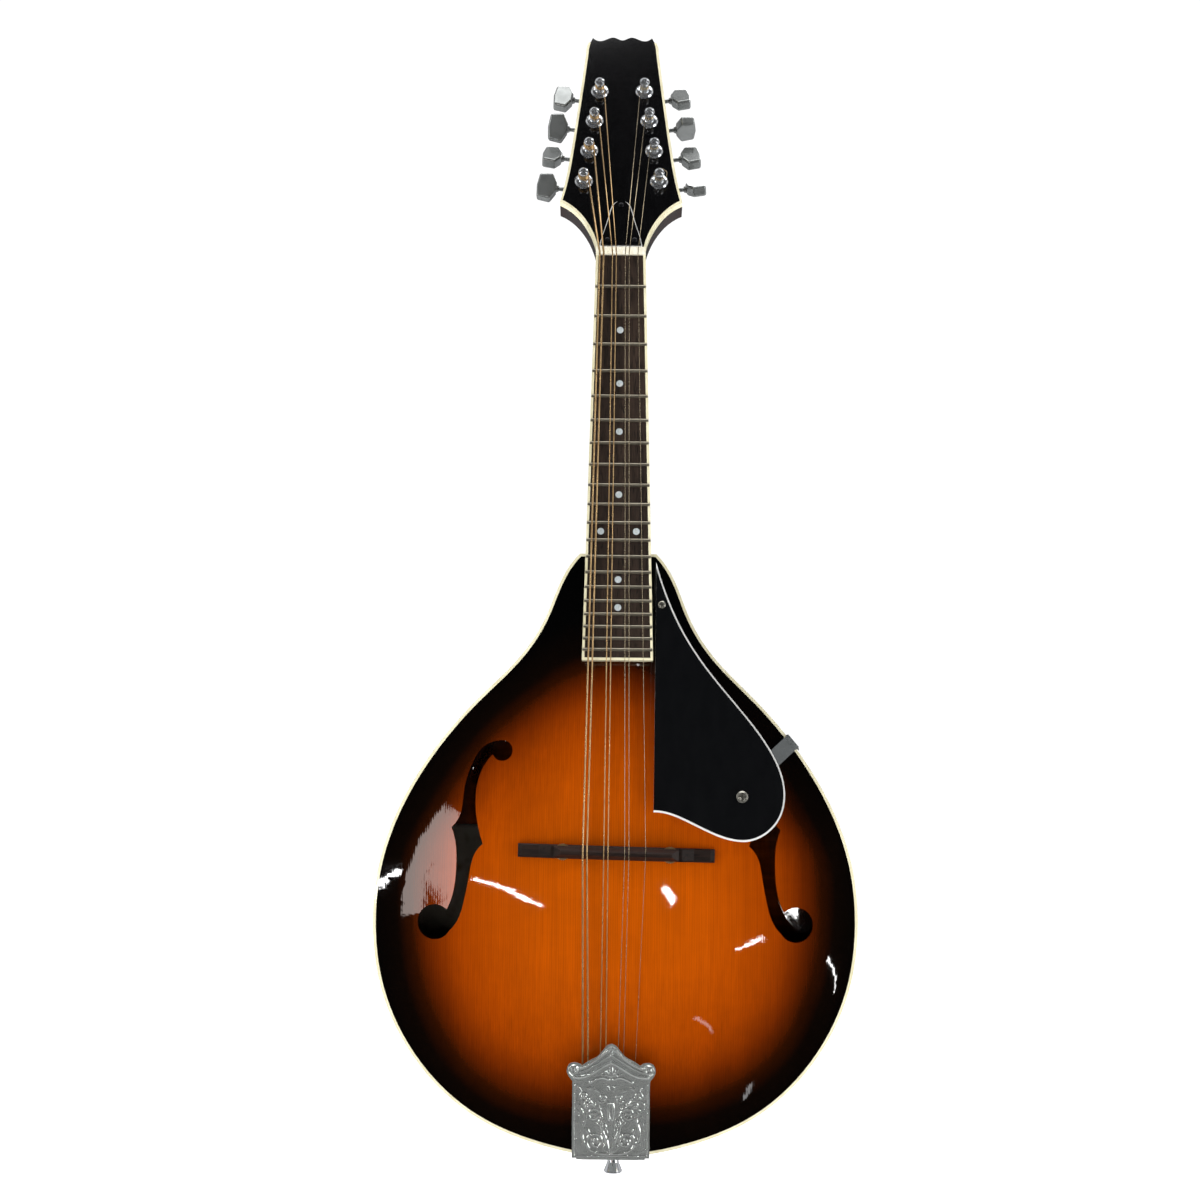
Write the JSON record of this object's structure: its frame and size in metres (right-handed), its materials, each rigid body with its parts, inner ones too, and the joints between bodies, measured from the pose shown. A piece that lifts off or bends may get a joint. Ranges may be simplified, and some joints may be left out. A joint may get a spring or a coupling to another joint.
{
  "type": "mandolin",
  "caption": "Carved-top teardrop mandolin with f-holes, raised pickguard, floating bridge with thumbwheels, sliding tailpiece cover and geared tuners.",
  "frame": {"origin": "middle of the strap button's flat end", "axes": "+Z from the strap button to the headstock tip, +X to the treble side (right when facing the soundboard), -Y out of the soundboard"},
  "size_m": [0.2804, 0.1007, 0.6994],
  "materials": {
    "top_wood": "gloss sunburst over fine straight grain",
    "back_wood": "gloss dark sunburst",
    "side_wood": "gloss dark brown",
    "inner_wood": "bare, sanded",
    "binding": "cream, gloss",
    "neck_wood": "gloss dark brown",
    "headstock_lacquer": "black gloss",
    "board_wood": "open-grained rosewood, oiled",
    "pearl": "pearl grey",
    "fret_wire": "polished nickel silver",
    "bone": "off-white",
    "steel": "plain",
    "brass_nut": "plain",
    "black_ply": "black, semi-gloss",
    "white_ply": "white",
    "plated_screw": "plated",
    "black_screw": "black oxide",
    "tuner_plate": "plated",
    "bushing": "polished",
    "tuner_button": "polished, cast",
    "tuner_post": "polished",
    "bridge_wood": "dark rosewood, satin",
    "bridge_metal": "plated, knurled",
    "tailpiece_metal": "plated",
    "cover_chrome": "polished, embossed",
    "wound_string": "bronze wound",
    "plain_string": "plain steel"
  },
  "bodies": {
    "instrument": {"back_binding": "binding", "back_plate": "back_wood", "bridge_base": "bridge_wood", "bridge_posts": "bridge_metal", "fingerboard": "board_wood", "fingerboard_binding": "binding", "fingerboard_dots": "pearl", "frets": "fret_wire", "head_block": "inner_wood", "headstock_binding": "binding", "headstock_veneer": "headstock_lacquer", "linings": "inner_wood", "neck": "neck_wood", "nut": "bone", "pickguard": "black_ply", "pickguard_bracket": "tailpiece_metal", "pickguard_screws": "plated_screw", "pickguard_spacer": "black_ply", "pickguard_white_ply": "white_ply", "rim": "side_wood", "strap_button": "cover_chrome", "strings_a": "plain_string", "strings_d": "wound_string", "strings_e": "plain_string", "strings_g": "wound_string", "tail_block": "inner_wood", "tailpiece_base": "tailpiece_metal", "tailpiece_screws": "plated_screw", "tone_bars": "inner_wood", "top_binding": "binding", "top_plate": "top_wood", "truss_rod": "steel", "truss_rod_cover": "black_ply", "truss_rod_cover_screws": "black_screw", "truss_rod_cover_white_ply": "white_ply", "tuner_bushings": "bushing", "tuner_plate_bass": "tuner_plate", "tuner_plate_treble": "tuner_plate", "tuner_screws": "plated_screw"},
    "saddle": {"bridge_saddle": "bridge_wood"},
    "wheel_bass": {"bridge_wheel_bass": "bridge_metal"},
    "wheel_treble": {"bridge_wheel_treble": "bridge_metal"},
    "tail_cover": {"tailpiece_cover": "cover_chrome"},
    "truss_nut": {"truss_rod_nut": "brass_nut"},
    "button_g1": {"tuner_g1_button": "tuner_button"},
    "post_g1": {"tuner_g1_post": "tuner_post"},
    "button_g2": {"tuner_g2_button": "tuner_button"},
    "post_g2": {"tuner_g2_post": "tuner_post"},
    "button_d1": {"tuner_d1_button": "tuner_button"},
    "post_d1": {"tuner_d1_post": "tuner_post"},
    "button_d2": {"tuner_d2_button": "tuner_button"},
    "post_d2": {"tuner_d2_post": "tuner_post"},
    "button_a1": {"tuner_a1_button": "tuner_button"},
    "post_a1": {"tuner_a1_post": "tuner_post"},
    "button_a2": {"tuner_a2_button": "tuner_button"},
    "post_a2": {"tuner_a2_post": "tuner_post"},
    "button_e1": {"tuner_e1_button": "tuner_button"},
    "post_e1": {"tuner_e1_post": "tuner_post"},
    "button_e2": {"tuner_e2_button": "tuner_button"},
    "post_e2": {"tuner_e2_post": "tuner_post"}
  },
  "joints": [
    {"name": "tuner_g1_turn", "type": "hinge", "parent": "instrument", "child": "button_g1", "pos_m": [-0.0222, 0.02193, 0.5931], "axis": [-0.9914, 0.0414, 0.1238], "continuous": true},
    {"name": "post_g1_turn", "type": "hinge", "parent": "instrument", "child": "post_g1", "pos_m": [-0.02309, 0.00111, 0.59296], "axis": [0, 0.9483, -0.3173], "continuous": true},
    {"name": "tuner_g2_turn", "type": "hinge", "parent": "instrument", "child": "button_g2", "pos_m": [-0.01918, 0.02923, 0.61491], "axis": [-0.9914, 0.0414, 0.1238], "continuous": true},
    {"name": "post_g2_turn", "type": "hinge", "parent": "instrument", "child": "post_g2", "pos_m": [-0.02006, 0.0084, 0.61477], "axis": [0, 0.9483, -0.3173], "continuous": true},
    {"name": "tuner_d1_turn", "type": "hinge", "parent": "instrument", "child": "button_d1", "pos_m": [-0.01615, 0.03652, 0.63672], "axis": [-0.9914, 0.0414, 0.1238], "continuous": true},
    {"name": "post_d1_turn", "type": "hinge", "parent": "instrument", "child": "post_d1", "pos_m": [-0.01704, 0.0157, 0.63658], "axis": [0, 0.9483, -0.3173], "continuous": true},
    {"name": "tuner_d2_turn", "type": "hinge", "parent": "instrument", "child": "button_d2", "pos_m": [-0.01312, 0.04382, 0.65854], "axis": [-0.9914, 0.0414, 0.1238], "continuous": true},
    {"name": "post_d2_turn", "type": "hinge", "parent": "instrument", "child": "post_d2", "pos_m": [-0.01401, 0.023, 0.6584], "axis": [0, 0.9483, -0.3173], "continuous": true},
    {"name": "tuner_a1_turn", "type": "hinge", "parent": "instrument", "child": "button_a1", "pos_m": [0.01312, 0.04382, 0.65854], "axis": [0.9914, 0.0414, 0.1238], "continuous": true},
    {"name": "post_a1_turn", "type": "hinge", "parent": "instrument", "child": "post_a1", "pos_m": [0.01401, 0.023, 0.6584], "axis": [0, 0.9483, -0.3173], "continuous": true},
    {"name": "tuner_a2_turn", "type": "hinge", "parent": "instrument", "child": "button_a2", "pos_m": [0.01615, 0.03652, 0.63672], "axis": [0.9914, 0.0414, 0.1238], "continuous": true},
    {"name": "post_a2_turn", "type": "hinge", "parent": "instrument", "child": "post_a2", "pos_m": [0.01704, 0.0157, 0.63658], "axis": [0, 0.9483, -0.3173], "continuous": true},
    {"name": "tuner_e1_turn", "type": "hinge", "parent": "instrument", "child": "button_e1", "pos_m": [0.01918, 0.02923, 0.61491], "axis": [0.9914, 0.0414, 0.1238], "continuous": true},
    {"name": "post_e1_turn", "type": "hinge", "parent": "instrument", "child": "post_e1", "pos_m": [0.02006, 0.0084, 0.61477], "axis": [0, 0.9483, -0.3173], "continuous": true},
    {"name": "tuner_e2_turn", "type": "hinge", "parent": "instrument", "child": "button_e2", "pos_m": [0.0222, 0.02193, 0.5931], "axis": [0.9914, 0.0414, 0.1238], "continuous": true},
    {"name": "post_e2_turn", "type": "hinge", "parent": "instrument", "child": "post_e2", "pos_m": [0.02309, 0.00111, 0.59296], "axis": [0, 0.9483, -0.3173], "continuous": true},
    {"name": "saddle_lift", "type": "slide", "parent": "instrument", "child": "saddle", "axis": [0, -1, 0], "range_m": [-0.001, 0.0025], "deforming": ["strings_g", "strings_d", "strings_a", "strings_e"]},
    {"name": "wheel_bass_turn", "type": "hinge", "parent": "saddle", "child": "wheel_bass", "pos_m": [-0.03029, -0.04, 0.18624], "axis": [0, -1, 0], "range_deg": [-540, 1320]},
    {"name": "wheel_treble_turn", "type": "hinge", "parent": "saddle", "child": "wheel_treble", "pos_m": [0.03089, -0.04, 0.18496], "axis": [0, -1, 0], "range_deg": [-540, 1320]},
    {"name": "tail_cover_slide", "type": "slide", "parent": "instrument", "child": "tail_cover", "axis": [0, 0.1106, -0.9939], "range_m": [0, 0.045]},
    {"name": "truss_nut_turn", "type": "hinge", "parent": "instrument", "child": "truss_nut", "pos_m": [0, -0.00588, 0.5541], "axis": [0, 0.0785, 0.9969], "range_deg": [-360, 360]}
  ],
  "couplings": [
    {"joint": "post_g1_turn", "follows": "tuner_g1_turn", "ratio": 0.071429},
    {"joint": "post_g2_turn", "follows": "tuner_g2_turn", "ratio": 0.071429},
    {"joint": "post_d1_turn", "follows": "tuner_d1_turn", "ratio": 0.071429},
    {"joint": "post_d2_turn", "follows": "tuner_d2_turn", "ratio": 0.071429},
    {"joint": "post_a1_turn", "follows": "tuner_a1_turn", "ratio": -0.071429},
    {"joint": "post_a2_turn", "follows": "tuner_a2_turn", "ratio": -0.071429},
    {"joint": "post_e1_turn", "follows": "tuner_e1_turn", "ratio": -0.071429},
    {"joint": "post_e2_turn", "follows": "tuner_e2_turn", "ratio": -0.071429},
    {"joint": "wheel_bass_turn", "follows": "saddle_lift", "rad_per_m": 8976},
    {"joint": "wheel_treble_turn", "follows": "saddle_lift", "rad_per_m": 8976}
  ]
}
